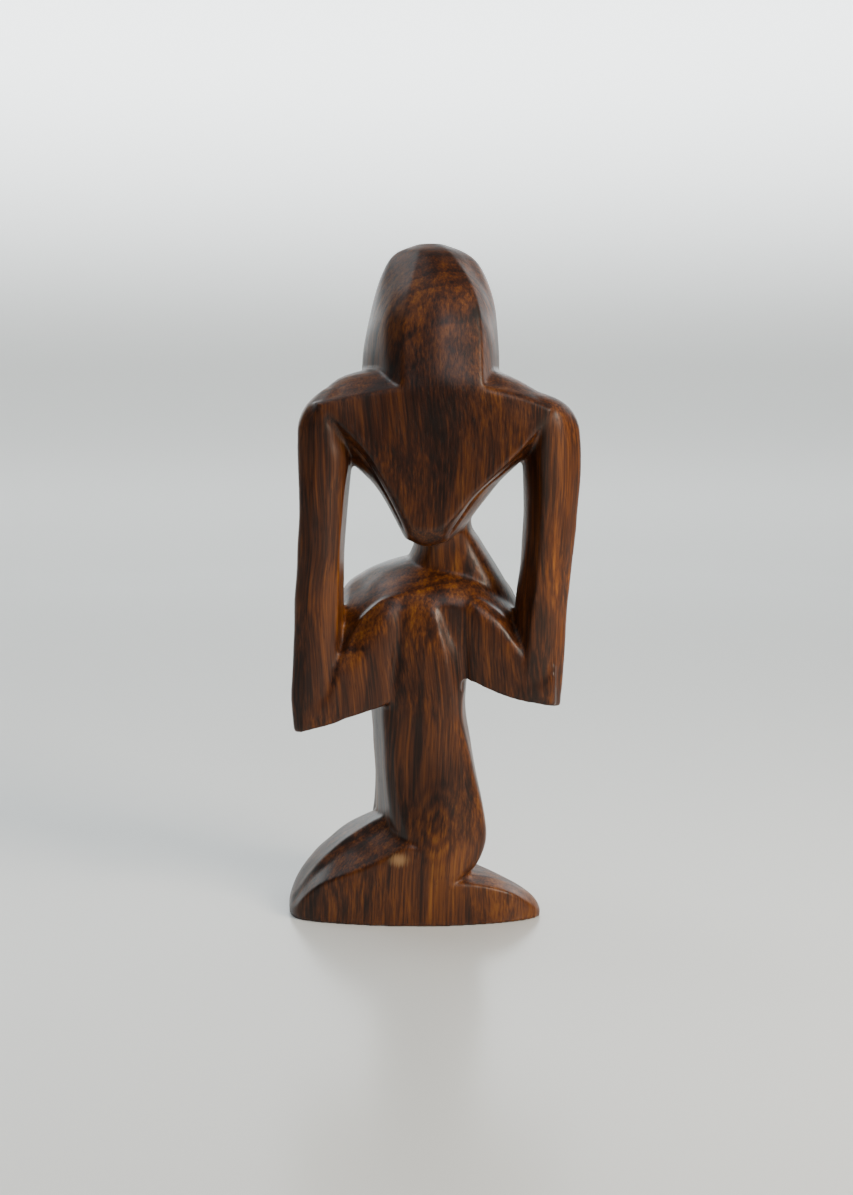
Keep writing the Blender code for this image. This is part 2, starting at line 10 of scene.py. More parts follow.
import bmesh
import bpy
import numpy as np
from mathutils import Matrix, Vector


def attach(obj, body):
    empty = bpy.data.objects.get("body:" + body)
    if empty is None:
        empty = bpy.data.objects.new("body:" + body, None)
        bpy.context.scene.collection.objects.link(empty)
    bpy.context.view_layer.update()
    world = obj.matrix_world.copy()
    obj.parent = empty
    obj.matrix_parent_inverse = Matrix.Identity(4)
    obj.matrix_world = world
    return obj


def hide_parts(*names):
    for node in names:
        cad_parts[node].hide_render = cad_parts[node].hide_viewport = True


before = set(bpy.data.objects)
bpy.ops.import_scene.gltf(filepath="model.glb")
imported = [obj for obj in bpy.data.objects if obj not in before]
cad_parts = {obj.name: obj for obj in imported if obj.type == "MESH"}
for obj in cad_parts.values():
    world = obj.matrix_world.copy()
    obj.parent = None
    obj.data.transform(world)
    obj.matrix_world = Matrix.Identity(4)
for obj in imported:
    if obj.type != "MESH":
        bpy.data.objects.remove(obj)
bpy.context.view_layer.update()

MM = 0.001
MIDDLE_X = 0.2          # middle of the figure in the drawn sections, mm
MIDDLE_Y = 1.4
BACK_LEAN_Z = 150.0     # height above which the back leans away, mm
ELBOW_TILT_X = -40.0    # side from which a rising section tilts up, mm
STEPS_ROUND = 5         # points per side of a section
STEPS_ALONG = 4         # sections drawn between two given ones
STEPS_STROKE = 4        # points between two given ones of a gouge line
VOXEL = 0.60            # grain of the fused body, mm
SANDING = 0.5           # how far a pass moves a point towards its neighbours
GIVE_BACK = 0.6         # share of each move that is given back, against shrinking
SANDING_PASSES = 4      # smoothing passes over the whole carving
SOFT_PASSES = 14        # extra passes at the soft spots
LAST_PASSES = 1         # and after the gouge lines are cut
SOFT_CORE = 0.7         # a soft spot works fully within this share of its reach
SOFT_END = 1.2          # and not at all beyond this one
SHORTEST_FADE = 0.01    # of a gouge line, as a share of its path
KNIFE_MARK = 0.07       # height of the unevenness left by hand, mm
UNDERSIDE = 0.35        # what lies lower than this rests on the table, mm
TRIANGLES = 170000      # in the finished carving


# ---------------------------------------------------------------- drawn sections
# A section is its level along the member's axis, its slope and its outline, in mm:
# (x, y) for a member along Z, (y, z) along X and (x, z) along Y. The corners are
# the points of the outline that stay sharp.
HEAD_CORNERS = (0, 2)
HEAD = [
    (147.0, 0, [(-8, -25), (3.5, -25.5), (14.9, -25), (17, -13), (17.5, -2),
                (11, 8), (2, 12), (-7, 8), (-15, -2), (-13, -16)]),
    (157.0, 0, [(-8, -24.7), (3.5, -25.2), (14.9, -24.7), (18.6, -12), (19.8, 0),
                (14, 13), (1, 18), (-12, 13), (-19.6, 0), (-13.8, -16.5)]),
    (165.0, 0, [(-8, -22.1), (3.5, -23.1), (14.7, -22.1), (18.9, -11), (20.3, 1),
                (15, 17), (0.5, 23), (-14, 17), (-20.2, 1), (-13.9, -15)]),
    (172.0, 0, [(-7.8, -19.1), (3.3, -20.5), (14.5, -19.1), (18.4, -10), (20, 2),
                (15, 18.5), (0.5, 25.5), (-14, 18.5), (-19.4, 2), (-13.8, -13)]),
    (179.0, 0, [(-7.2, -16), (3, -17.8), (13.9, -16), (17.3, -8), (19.5, 3),
                (14.4, 19), (0.5, 26.5), (-13.6, 19), (-17.8, 3), (-13.2, -10.2)]),
    (185.0, 0, [(-6.3, -12.5), (2.6, -14.3), (12.5, -12.5), (15.8, -5), (18.4, 4.5),
                (13, 18.5), (0.5, 26), (-12.4, 18.5), (-16.5, 4.5), (-11.4, -7)]),
    (190.5, 0, [(-5, -7.5), (2, -9.2), (10, -7.5), (13, -1.5), (16.6, 6),
                (11.4, 17), (0.5, 23.5), (-10.8, 17), (-14.7, 6), (-9.4, -2.8)]),
    (195.0, 0, [(-4, -2.5), (1.2, -3.8), (7.2, -2.5), (10.4, 1.5), (13.8, 7.5),
                (9.2, 15.5), (0.5, 20), (-8.9, 15.5), (-12.4, 7.5), (-7.8, 1.5)]),
    (197.9, 0, [(-3, 1.6), (0.6, 0.8), (4.8, 1.6), (7.4, 4.4), (9.6, 8.5),
                (6.6, 13.4), (0.4, 15.8), (-6.6, 13.4), (-9.3, 8.5), (-6.4, 4.4)]),
    (200.1, 0, [(-1.5, 6.8), (0.2, 6.4), (2, 6.8), (3, 7.6), (3.6, 8.9),
                (2.4, 10.4), (0.2, 11.2), (-2.4, 10.4), (-3.5, 8.9), (-2.7, 7.6)]),
]

TORSO_CORNERS = (0, 2, 3, 6, 8, 11, 12, 14)
TORSO = [
    (-25.2, 0.06, [(-7.9, 157.1), (-20, 155), (-32, 152.2), (-27.8, 149.8),
                   (-17.6, 139.1), (-10.9, 128), (-5, 117.6), (-0.8, 116.6),
                   (4, 118), (12.2, 127.2), (20.6, 135.4), (29.8, 144.4),
                   (34.2, 150.8), (25.5, 154.3), (14.7, 157.1)]),
    (-22.4, 0.0, [(-8.6, 158.4), (-20.5, 156.4), (-33.4, 153), (-29.4, 147.5),
                  (-19.4, 137.6), (-12.6, 126.6), (-6.6, 114), (-1.5, 112),
                  (4.3, 113.2), (13, 125.8), (21.6, 133.8), (30, 141.8),
                  (36, 151.6), (26, 155.8), (15.4, 158.4)]),
    (-14.0, 0.0, [(-14.4, 162.5), (-26.9, 159.2), (-35.2, 152), (-31, 142),
                  (-21.5, 134.2), (-15.2, 127.6), (-7.8, 114.8), (0.5, 112.8),
                  (9, 115.6), (18.1, 127.6), (24.3, 134.2), (33, 142),
                  (40.2, 150.6), (28.5, 157.6), (19.4, 161.8)]),
    (0.0, 0.0, [(-15, 163), (-25, 160), (-32.5, 153), (-28, 143.5),
                (-20.5, 136), (-15, 129), (-7.5, 119.5), (2, 116),
                (11, 118.5), (17.5, 128), (23.5, 136), (30, 143.5),
                (35, 151.5), (26, 158.3), (18.6, 162)]),
    (11.0, 0.0, [(-10, 157.5), (-17, 155.4), (-22.5, 150.4), (-20.5, 144),
                 (-16, 137.5), (-12, 130.5), (-7, 123.5), (2, 120.5),
                 (10, 123), (15, 130), (18.6, 137.5), (22.6, 144),
                 (25, 149.6), (19.5, 155), (13, 157.5)]),
    (17.5, 0.0, [(-6, 152), (-10, 151), (-13, 147.5), (-12, 143),
                 (-10, 138.5), (-7.5, 133), (-4.6, 128.8), (1.5, 127),
                 (7, 128.6), (10, 132.8), (12.5, 138.5), (14.4, 143),
                 (15.5, 147), (12.5, 151), (8.5, 152)]),
]

WAIST_CORNERS = ()
WAIST = [
    (128.0, 0, [(-9, -12), (3, -15), (14, -12), (16.5, 0), (12, 10), (2, 12),
                (-8, 10), (-11, 0)]),
    (118.0, 0, [(-4, -11), (3, -13), (10, -11), (12.2, -1.5), (9, 9), (3, 11),
                (-4, 9), (-6, 0)]),
    (112.0, 0, [(-1, -9.5), (4, -11.5), (12, -10), (15.2, -1.5), (11, 10), (4, 12),
                (-3, 10), (-4.6, 0)]),
    (106.0, 0, [(-2, -9), (5, -11.5), (15, -10.5), (19, -1.5), (14, 11), (4, 13),
                (-5, 11), (-7, 0)]),
    (100.0, 0, [(-4, -9), (6, -12), (18, -11.5), (22.6, -1.5), (17, 12), (4, 14),
                (-8, 12), (-10, 0)]),
    (92.0, 0, [(-6, -9), (6, -12), (20, -12), (27, -1.5), (19, 12), (4, 14),
               (-10, 12), (-12, 0)]),
]

HIPS_CORNERS = (0, 10)
HIPS = [
    (-19.6, 0, [(-25.5, 70), (-22, 80.6), (-17.2, 86), (-12, 90.4), (-6, 93),
                (1.2, 94.4), (8, 94), (13, 91.8), (18, 87.4), (22.4, 81.4),
                (25, 70), (0, 73)]),
    (-17.8, 0, [(-27.6, 71), (-24.4, 83.2), (-19.3, 89), (-13.5, 93.8), (-7, 96.6),
                (1.2, 98), (9, 97.4), (14.5, 95.2), (20.2, 90.2), (24.8, 84),
                (27.4, 71), (0, 73)]),
    (-13.0, 0, [(-29, 74), (-25.8, 87.8), (-20.3, 93.2), (-14, 97.8), (-7, 100.7),
                (1, 102.3), (9, 101.8), (15, 99.4), (21, 94), (26, 87), (28.5, 73),
                (0, 73)]),
    (-5.0, 0, [(-29.6, 77), (-26.4, 92.4), (-20.4, 98), (-14.2, 102.3), (-6.6, 105.3),
               (1, 107), (9, 106.6), (15.4, 103.8), (21, 98.4), (26.2, 90.6), (28.8, 76),
               (0, 73)]),
    (6.0, 0, [(-30, 80), (-26.6, 96), (-20.3, 101.8), (-14, 104.7), (-6.1, 107),
              (1, 108.4), (9, 108.4), (15.5, 106.5), (21, 101.5), (26.3, 93.5), (28.4, 78),
              (-2, 67)]),
    (18.0, 0, [(-24.5, 76), (-23.5, 91), (-18.5, 98), (-12.5, 101.3), (-6, 103.2),
               (1, 104), (8, 103.6), (14, 101.5), (19, 97), (23.5, 90), (23.5, 75.5),
               (-4, 60.5)]),
    (26.0, 0, [(-18.6, 74), (-17.6, 86), (-14.5, 91), (-10, 94), (-5, 95.6),
               (1, 96.2), (6.5, 95.6), (11.5, 93.8), (15.5, 90.4), (18.2, 84.5),
               (18, 73.5), (-3, 63.5)]),
    (30.0, 0, [(-10, 75.5), (-9.5, 81), (-7.8, 84.3), (-5.4, 86.2), (-2.6, 87.2),
               (0.5, 87.6), (3.4, 87.2), (6, 86.2), (8.3, 84), (9.6, 81),
               (9.8, 75.5), (-1, 71)]),
]

LEFT_LAP_CORNERS = (0, 2, 3, 4)
LEFT_LAP = [
    (-37.5, 0, [(-23.2, 57.6), (-23.8, 66), (-22.6, 73), (-8, 74), (-8, 59)]),
    (-30.0, 0, [(-23.2, 59.4), (-23.5, 66), (-21.6, 73), (-5, 76), (-5, 60)]),
    (-26.2, 0, [(-22.8, 60.9), (-22.9, 76.8), (-20.6, 80.4), (-4, 82), (-4, 61)]),
    (-21.5, 0, [(-22.2, 62.4), (-22.5, 80.2), (-18.2, 89), (-2, 92), (-2, 62.6)]),
    (-17.0, 0, [(-21.6, 63.8), (-22, 84), (-17.8, 93.6), (-1, 96), (-1, 63.8)]),
    (-12.5, 0, [(-21, 65.4), (-21.4, 88), (-17.8, 96.6), (0, 99), (0, 65)]),
    (-6.5, 0, [(-18.6, 70), (-19, 90), (-17, 97.6), (0, 99.5), (0, 70)]),
]

RIGHT_LAP_CORNERS = (0, 2, 3, 4)
RIGHT_LAP = [
    (36.5, 0, [(-22.2, 65.2), (-23, 72), (-21.4, 80), (-8, 80), (-8, 66)]),
    (30.0, 0, [(-23.2, 66.1), (-23.6, 71), (-21.8, 77.4), (-5, 80), (-5, 66.5)]),
    (26.0, 0, [(-23, 66.9), (-23.2, 80.6), (-19.8, 84.4), (-4, 87), (-4, 67)]),
    (21.5, 0, [(-22.4, 68.2), (-22.4, 86.2), (-18.4, 91.2), (-2, 94), (-2, 68.4)]),
    (16.0, 0, [(-21.6, 70.4), (-21.6, 90.2), (-17.8, 95.4), (-1, 98), (-1, 70.4)]),
    (11.5, 0, [(-20.2, 72.4), (-20.4, 92), (-17.4, 97.4), (0, 99), (0, 72.6)]),
    (6.0, 0, [(-17, 73), (-17, 90), (-15, 98), (0, 99), (0, 74)]),
]

LEFT_ARM_CORNERS = (0, 2)
LEFT_ARM = [
    (157.0, 0, [(-28.5, -17.5), (-26.5, -18.5), (-24.5, -18.5), (-20, -8), (-25, -5),
                (-29.5, -7), (-30.6, -14)]),
    (154.3, 0, [(-29.8, -22.3), (-27.5, -22.8), (-25, -22.6), (-20, -9), (-25.5, -3.5),
                (-31.6, -5.5), (-34, -16.4)]),
    (151.5, 0, [(-32.3, -24.2), (-30, -24.8), (-27.8, -24.8), (-20, -10), (-26, -3),
                (-33, -5), (-36.3, -18)]),
    (147.0, 0, [(-33.2, -24.5), (-30, -24.9), (-26.8, -23.4), (-20, -9), (-27, -3),
                (-34.2, -5), (-38, -19)]),
    (142.0, 0, [(-33, -24.6), (-28.8, -24.4), (-25.2, -21.9), (-21.5, -9), (-27, -4),
                (-34, -5.6), (-38.2, -19.6)]),
    (136.0, 0, [(-32.8, -24.7), (-27.5, -24), (-23.6, -21), (-22.9, -9), (-27, -4.5),
                (-34, -6), (-38.2, -20)]),
    (125.0, 0, [(-33.8, -24.7), (-29, -24), (-25, -21.4), (-24.1, -10), (-28.5, -5.5),
                (-34, -6.5), (-37.8, -20.4)]),
    (110.0, 0, [(-34.4, -24.6), (-30, -24), (-26.2, -21.6), (-25.3, -10),
                (-29.5, -5.5), (-34.8, -6.5), (-38.5, -20.4)]),
    (95.0, 0, [(-35.2, -24.5), (-31, -24), (-26.7, -21.5), (-25.6, -9.5), (-30, -5),
               (-35.5, -6.5), (-39.5, -20.2)]),
    (80.0, 0, [(-36.2, -24.3), (-31.5, -23.8), (-27.2, -21.5), (-25.6, -9), (-30, -4.5),
               (-36, -6.5), (-40, -20)]),
    (68.0, 0, [(-36.9, -24), (-32, -23.5), (-26.5, -21.5), (-25, -9), (-30, -4.5),
               (-36.6, -6.5), (-40.7, -20)]),
    (57.0, 0.24, [(-37.7, -23.6), (-32, -23), (-26.5, -21.5), (-25, -9), (-30, -4.5),
                  (-36.6, -6.5), (-39.9, -19.6)]),
]

RIGHT_ARM_CORNERS = (0,)
RIGHT_ARM = [
    (156.4, 0, [(27, -17), (28.6, -16.5), (30, -14.4), (30.4, -11.6), (29, -6.5), (26, -5.5),
                (21, -8), (21, -15)]),
    (154.0, 0, [(29, -22.4), (32.5, -21.8), (35.6, -18.8), (36.8, -14.4), (34, -6),
                (29, -4), (21.5, -8), (22, -18)]),
    (151.0, 0, [(31.5, -24.4), (35.8, -23.2), (39.2, -19.6), (40.6, -15), (37, -5.6),
                (30, -3), (22, -8), (25, -20)]),
    (147.0, 0, [(32.2, -24.9), (37, -23.6), (40.9, -20), (42.6, -15.6), (38, -5.6),
                (31, -3), (23.5, -8), (28.4, -21)]),
    (142.0, 0, [(32, -24.9), (37.4, -23.6), (41.6, -20.2), (43.3, -16), (38.6, -6),
                (31.6, -3.8), (25, -8.6), (27.8, -18.6)]),
    (136.0, 0, [(31.8, -24.8), (37.5, -23.4), (41.8, -20.2), (43.5, -16.2), (39, -6.4),
                (32, -4.5), (27, -9), (27.8, -17)]),
    (125.0, 0, [(32, -24.8), (37.4, -23.4), (41.4, -20.2), (42.9, -16.4), (38.5, -6.5),
                (32.5, -5), (27.6, -9), (28.1, -17)]),
    (110.0, 0, [(31.3, -24.7), (36.4, -23.4), (40.2, -20.2), (41.6, -16.6),
                (37.6, -6.5), (32, -5), (27.2, -9), (27.5, -17)]),
    (95.0, 0, [(29.9, -24.4), (34.8, -23.2), (38.7, -20), (40.1, -16.6), (36.4, -6.5),
               (31, -5), (25.7, -9), (25.9, -17)]),
    (82.0, 0, [(28.6, -24), (33.8, -22.9), (38, -20), (39.4, -16.6), (36, -6.5),
               (30.5, -5), (24.5, -9), (24.7, -17)]),
    (72.0, 0, [(27.8, -23.8), (33.2, -22.8), (37.5, -20), (38.8, -16.6), (35.6, -6.5),
               (30.5, -5), (23.3, -9), (23.3, -17)]),
    (72.7, -0.22, [(27.8, -23.5), (33, -22.6), (37, -19.8), (38, -16.6),
                   (35, -6.5), (30.5, -5), (23.3, -9), (23.3, -17)]),
]

NEAR_LEG_CORNERS = (0, 2)
NEAR_LEG = [
    (96.0, 0, [(-10, -17.6), (-4, -18.6), (1, -19), (12, -12), (10, 0), (-8, 0),
               (-13, -10)]),
    (92.0, 0, [(-9.4, -19), (-4, -20.4), (1.2, -21.2), (11.6, -13), (10, 0), (-8, 0),
               (-12, -10)]),
    (87.0, 0, [(-8.8, -19.9), (-3.6, -21.3), (2.4, -22), (11, -14), (9, 0), (-8, 0),
               (-11, -10)]),
    (80.0, 0, [(-9, -20.4), (-3, -22), (4.2, -22.6), (10.8, -16), (8.5, 0), (-8, 0),
               (-11, -10)]),
    (70.0, 0, [(-9.6, -20.8), (-2, -22.6), (6.2, -22.4), (10.2, -16.5), (8, 0), (-15.6, 3),
               (-13.8, -15.4)]),
    (62.0, 0, [(-10.2, -20.8), (-0.8, -23), (7, -21.6), (9.8, -16.5), (8, 0), (-16.2, 3),
               (-14.4, -15.6)]),
    (54.0, 0, [(-10.4, -20.8), (0, -23.2), (8, -21.6), (11.2, -16.5), (9, 0), (-16, 3),
               (-14.3, -15.6)]),
    (45.0, 0, [(-10.2, -21), (0.8, -23.5), (9.6, -21.6), (13.1, -16.5), (10, 1),
               (-15.4, 3), (-13.8, -15.6)]),
    (35.0, 0, [(-9, -22), (2.2, -24.6), (11.8, -21.8), (15.5, -16.5), (11, 2),
               (-15.2, 3), (-13, -16)]),
    (26.0, 0, [(-6.4, -24), (3.6, -25.6), (13, -22.2), (16.8, -16.5), (12, 2), (-14.6, 3),
               (-11.2, -17)]),
    (20.0, 0, [(-4.6, -25.2), (3.8, -25.8), (12.2, -22.6), (15.6, -17), (12, 2), (-6, 2),
               (-8, -12)]),
    (14.5, 0, [(-4, -25.3), (3, -25.6), (9, -23.6), (12, -18), (10, 1), (-5.5, 1),
               (-8, -11)]),
    (9.0, 0, [(-4, -24), (1, -24.6), (4.4, -23.6), (6.6, -18), (7, 0), (-5, 0),
              (-8, -10)]),
]

FAR_LEG_CORNERS = ()
FAR_LEG = [
    (84.0, 0, [(-15, 5), (-6, 2), (4, 3), (7, 12), (3, 22), (-5, 24), (-12, 22),
               (-16.5, 13)]),
    (72.0, 0, [(-17, 4), (-6, 1), (4, 2), (8, 12), (3, 23), (-5, 25), (-13, 23),
               (-18.5, 13)]),
    (57.0, 0, [(-16, 4), (-6, 1), (4, 2), (7, 12), (2, 21.5), (-5, 23.5), (-12, 22),
               (-18, 13)]),
    (45.0, 0, [(-15.2, 4), (-6, 1), (4, 2), (7, 12), (2, 20), (-5, 22), (-11.5, 21),
               (-17, 12.5)]),
    (33.0, 0, [(-15.4, 4), (-6, 1), (4, 2), (7.5, 12), (3, 21), (-5, 23), (-12, 22),
               (-17, 12.5)]),
    (24.0, 0, [(-16.5, 3), (-6, 0), (5, 1), (9, 12), (4, 24), (-5, 26), (-13, 24),
               (-18, 13)]),
    (10.0, 0, [(-18, 2), (-6, 0), (6, 1), (10, 12), (5, 25), (-5, 27), (-14, 25),
               (-20, 13)]),
]

FOOT_BLOCK_CORNERS = (0, 1, 2, 3, 7)
FOOT_BLOCK = [
    (-43.3, 0, [(-4, 0), (-4, 0.9), (-3, 1.3), (-2, 1.6), (0, 1.8), (2, 1.4), (3.4, 0.8),
                (4, 0)]),
    (-42.2, 0, [(-13, 0), (-12.6, 2), (-10.4, 3), (-8.4, 4.2), (0, 5.4), (7, 4),
                (10.5, 2.4), (12, 0)]),
    (-40.0, 0, [(-17.7, 0), (-17.6, 3.6), (-13.6, 5.2), (-11, 7), (0, 9.8), (10, 7.2),
                (14.5, 4), (16, 0)]),
    (-37.0, 0, [(-19.6, 0), (-19.6, 7.4), (-14.6, 9.4), (-12, 11.4), (0, 13.9),
                (12, 10.4), (18, 5.6), (20, 0)]),
    (-33.0, 0, [(-21.2, 0), (-21.2, 11), (-15, 13.8), (-12.2, 16.4), (0, 18.2),
                (13, 13.8), (20.5, 7.6), (23, 0)]),
    (-27.0, 0, [(-22.8, 0), (-22.8, 14), (-15.4, 18.8), (-12.4, 21.8), (0, 23.4),
                (14, 17.8), (22.5, 9.8), (26, 0)]),
    (-20.0, 0, [(-24.1, 0), (-24.1, 16.8), (-15.6, 23.4), (-12.4, 26.6), (0, 27.5),
                (15, 20.8), (24, 11.4), (28, 0)]),
    (-13.0, 0, [(-25, 0), (-25, 20.2), (-16, 27.2), (-13, 30.4), (0, 29.8), (15.5, 23),
                (25, 12.4), (29.3, 0)]),
    (-6.0, 0, [(-25.4, 0), (-25.4, 23.8), (-18, 29), (-15, 31), (0, 29), (16, 23.4),
               (25.6, 12.6), (30, 0)]),
    (0.0, 0, [(-25.4, 0), (-25.4, 20), (-20, 24), (-17, 26), (0, 24), (15.5, 19),
              (25, 10.6), (29.6, 0)]),
    (5.0, 0, [(-25.1, 0), (-25.1, 13.1), (-20, 14.8), (-16, 15.6), (0, 15.6), (14, 12),
              (23, 7), (28, 0)]),
    (11.0, 0, [(-24.3, 0), (-24.3, 12.5), (-18, 13.6), (-14, 14), (0, 13), (12, 8),
               (19.5, 4.4), (24, 0)]),
    (18.0, 0, [(-22.9, 0), (-22.9, 10.9), (-16.5, 12.4), (-12.5, 12.5), (0, 10),
               (9, 5.4), (14, 2.8), (17.5, 0)]),
    (24.5, 0, [(-21, 0), (-21, 8.4), (-15.5, 9.8), (-12, 9.8), (-1, 6.8), (5, 3.6),
               (8.5, 1.8), (11, 0)]),
    (29.0, 0, [(-19, 0), (-19, 5.2), (-14.5, 7.1), (-12, 7), (-3, 3.8), (1, 2),
               (3.5, 1), (5, 0)]),
    (31.6, 0, [(-17, 0), (-17, 2.8), (-13.8, 4.4), (-12, 4.4), (-7, 3), (-4, 1.8),
               (-2.4, 0.8), (-1.5, 0)]),
    (33.0, 0, [(-14.5, 0), (-14.5, 1), (-13, 1.5), (-12, 1.6), (-10, 1.4), (-9, 0.9),
               (-8.2, 0.4), (-8, 0)]),
]

MEMBERS = [
    ("Y", TORSO, TORSO_CORNERS),
    ("Z", HEAD, HEAD_CORNERS),
    ("Z", WAIST, WAIST_CORNERS),
    ("Y", HIPS, HIPS_CORNERS),
    ("Z", LEFT_ARM, LEFT_ARM_CORNERS),
    ("Z", RIGHT_ARM, RIGHT_ARM_CORNERS),
    ("X", LEFT_LAP, LEFT_LAP_CORNERS),
    ("X", RIGHT_LAP, RIGHT_LAP_CORNERS),
    ("Z", NEAR_LEG, NEAR_LEG_CORNERS),
    ("Z", FAR_LEG, FAR_LEG_CORNERS),
    ("X", FOOT_BLOCK, FOOT_BLOCK_CORNERS),
]

# Gouge lines: path (x, y, z), width and depth in mm, and the share of the path
# over which the cut fades in at its start and out at its end. A raised edge has
# a negative depth.
STROKES = [
    # between the left arm and the chamfer of the back
    ([(-30.4, -25, 149), (-27, -24.6, 145.4), (-24.4, -24, 141.4), (-22.4, -23, 137)],
     0.9, 0.8, 0.5, 0.2),
    # between the right arm and the plate of the back
    ([(31.4, -25, 145.6), (28.8, -24.4, 141.4), (26.8, -23, 137)], 1.4, 0.6, 0.5, 0.2),
    # dark line behind the chamfer of the V, left and right
    ([(-25.6, -22.4, 143.8), (-19.4, -22.4, 137.6), (-12.6, -22.4, 126.6),
      (-6.9, -22.4, 116)], 0.75, 0.5, 0.3, 0.1),
    ([(27.6, -22.4, 139.5), (21.6, -22.4, 133.8), (13.2, -22.4, 126.2),
      (5.2, -22.4, 114)], 0.75, 0.5, 0.2, 0.1),
    # raised edge of the plate along the V, left and right
    ([(-27.8, -25.2, 149.8), (-17.6, -25.2, 139.1), (-10.9, -25.2, 128),
      (-4.6, -25.2, 118)], 0.9, -0.35, 0.2, 0.1),
    ([(29.8, -25.2, 144.4), (20.6, -25.2, 135.4), (12.2, -25.2, 127.5),
      (4.8, -25.2, 118.8)], 0.9, -0.35, 0.2, 0.1),
    # valley over the left lap
    ([(-26.4, -22, 75.6), (-24, -21, 80), (-20.8, -19.6, 85.4), (-16.4, -18, 91)],
     2.6, 1.1, 0.45, 0.5),
    # valley over the right lap
    ([(27.2, -21.4, 80.8), (25.2, -20.4, 85), (21.6, -19.2, 90), (16.6, -18, 94.6)],
     3.0, 0.8, 0.4, 0.6),
    # creases on both sides of the thigh column
    ([(-8.4, -20, 93), (-9.2, -20.6, 84), (-10.2, -20.8, 76), (-10.8, -20, 70)], 1.3, 0.7,
     0.5, 0.4),
    ([(9.6, -18.6, 94), (10.2, -19, 85), (10.4, -19, 76), (10.2, -18.6, 69)], 1.3, 0.6,
     0.5, 0.0),
    # crease where the calf curls over the foot
    ([(2.6, -25.6, 11.2), (7.4, -24.4, 12.6), (11.2, -21, 14.4), (13, -17, 16.6)],
     0.8, 0.4, 0.7, 0.0),
]

# Places sanded rounder than the rest: middle (x, y, z), reach in mm along x, y
# and z, and how much of the extra sanding they get.
SOFT_SPOTS = [
    ((0, -17, 90), (25, 14, 15), 1.0),          # the dome and the laps
    ((-25.2, -20, 80), (4.5, 6, 9), 1.0),       # left arm and lap
    ((26, -20, 83), (5, 6, 8), 1.0),            # right arm and lap
    ((-9.8, -20, 66), (5, 5, 5), 0.8),          # left lap and the leg
    ((0, 20, 76), (30, 18, 18), 1.0),           # thighs and belly
    ((3.5, -16, 175), (24, 16, 26), 0.8),       # edges of the head
    ((3.5, -24, 157), (16, 6, 6), 1.0),         # neck
    ((9, -24, 12.5), (6, 4, 4), 0.8),           # calf and right foot
    ((-28, -12, 61), (16, 20, 7), 0.7),         # underside of the left elbow
    ((30, -12, 67), (14, 18, 6), 0.7),          # underside of the right elbow
]


# ---------------------------------------------------------------- lofting tools
def tangents(points, corners, closed):
    """Slope of the curve through the points; a corner keeps its two sides apart."""
    count = len(points)
    incoming = np.zeros_like(points)
    outgoing = np.zeros_like(points)
    for i in range(count):
        before = points[i - 1] if (closed or i > 0) else points[i]
        after = points[(i + 1) % count] if (closed or i < count - 1) else points[i]
        if i in corners:
            incoming[i] = points[i] - before
            outgoing[i] = after - points[i]
        else:
            incoming[i] = outgoing[i] = 0.5 * (after - before)
    return incoming, outgoing


def smooth_curve(points, corners, steps, closed):
    """Points on a cubic curve through the given ones."""
    points = np.asarray(points, dtype=float)
    incoming, outgoing = tangents(points, corners, closed)
    count = len(points)
    spans = count if closed else count - 1
    curve = []
    for i in range(spans):
        j = (i + 1) % count
        for k in range(steps):
            t = k / steps
            curve.append((2 * t**3 - 3 * t**2 + 1) * points[i]
                         + (t**3 - 2 * t**2 + t) * outgoing[i]
                         + (-2 * t**3 + 3 * t**2) * points[j]
                         + (t**3 - t**2) * incoming[j])
    if not closed:
        curve.append(points[-1])
    return np.array(curve)


def place(axis, level, slope, a, b):
    """One outline point in the drawn frame, mm.

    A section across Z tilts with x: up from the left elbow's side where its slope
    is positive, down from the middle where it is negative. One across Y leans away
    with z.
    """
    if axis == "Z":
        return (a, b, level - slope * (ELBOW_TILT_X - a) if slope > 0 else level + slope * a)
    if axis == "X":
        return (level, a, b)
    return (a, level - slope * (BACK_LEAN_Z - b), b)


def add_member(mesh, axis, sections, corners):
    """Add a closed body lofted through the sections."""
    rings = [[place(axis, level, slope, a, b) for a, b in outline]
             for level, slope, outline in sections]
    rings = np.array([smooth_curve(ring, corners, STEPS_ROUND, True) for ring in rings])
    columns = [smooth_curve(rings[:, i], (), STEPS_ALONG, False)
               for i in range(rings.shape[1])]
    grid = np.stack(columns, axis=1)
    loops = [[mesh.verts.new((point[0] - MIDDLE_X, point[1] - MIDDLE_Y, point[2]))
              for point in ring] for ring in grid]
    width = len(loops[0])
    for lower, upper in zip(loops, loops[1:]):
        for i in range(width):
            j = (i + 1) % width
            mesh.faces.new((lower[i], lower[j], upper[j], upper[i]))
    mesh.faces.new(loops[0])
    mesh.faces.new(loops[-1])


# ---------------------------------------------------------------- sculpting
def fused():
    """All the members as one skin, in millimetres."""
    mesh = bmesh.new()
    for axis, sections, corners in MEMBERS:
        add_member(mesh, axis, sections, corners)
    bmesh.ops.recalc_face_normals(mesh, faces=mesh.faces)
    data = bpy.data.meshes.new("carving")
    mesh.to_mesh(data)
    mesh.free()
    body = bpy.data.objects.new("carving", data)
    bpy.context.scene.collection.objects.link(body)
    step = body.modifiers.new("fuse", "REMESH")
    step.mode = "VOXEL"
    step.voxel_size = VOXEL
    graph = bpy.context.evaluated_depsgraph_get()
    skin = bpy.data.meshes.new_from_object(body.evaluated_get(graph))
    body.modifiers.clear()
    body.data = skin
    return body


